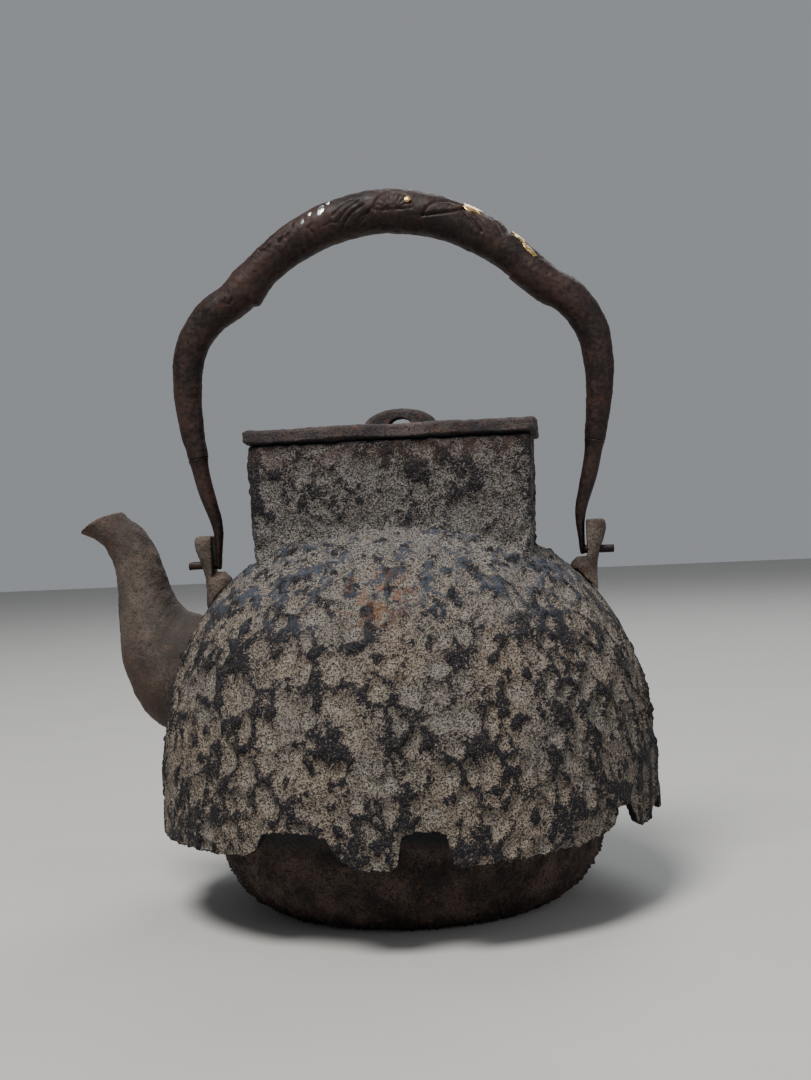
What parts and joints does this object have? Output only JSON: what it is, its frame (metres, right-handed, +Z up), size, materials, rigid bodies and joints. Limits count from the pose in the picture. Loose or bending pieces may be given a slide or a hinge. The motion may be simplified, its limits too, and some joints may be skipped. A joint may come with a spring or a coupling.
{
  "type": "cast iron kettle",
  "caption": "Cast iron kettle with a beaked spout, a flat lid with an arched knob, and a swinging bail handle.",
  "frame": {"origin": "centre of the flat base, on the surface that the kettle stands on", "axes": "+Z up; the spout points along -X; the bail swings about the X direction; the front is -Y"},
  "size_m": [0.1974, 0.1699, 0.2433],
  "materials": {
    "iron_body": "rough pitted casting with a dusty tan patina",
    "iron_spout": "grey-brown casting with light rust",
    "iron_pan": "rough dark brown rust",
    "iron_lid": "dark reddish brown casting",
    "iron_bail": "smooth dark brown forged iron",
    "lute": "dull black lacquer and iron putty",
    "gold_inlay": "worn gold",
    "silver_inlay": "worn silver"
  },
  "bodies": {
    "kettle": {"body_shell": "iron_body", "bottom_pan": "iron_pan", "seam_lute": "lute", "spout": "iron_spout", "lug_left": "iron_spout", "lug_right": "iron_spout"},
    "bail": {"handle_bow": "iron_bail", "handle_leg_left": "iron_bail", "handle_leg_right": "iron_bail", "gold_inlays": "gold_inlay", "silver_inlays": "silver_inlay"},
    "lid": {"lid_plate": "iron_lid", "lid_knob": "iron_lid", "knob_washers": "iron_lid"}
  },
  "joints": [
    {"name": "bail_swing", "type": "hinge", "parent": "kettle", "child": "bail", "pos_m": [0, 0, 0.1163], "axis": [1, 0, 0], "range_deg": [-115, 115]},
    {"name": "lid_lift", "type": "slide", "parent": "kettle", "child": "lid", "axis": [0, 0, 1], "range_m": [0, 0.035]}
  ]
}
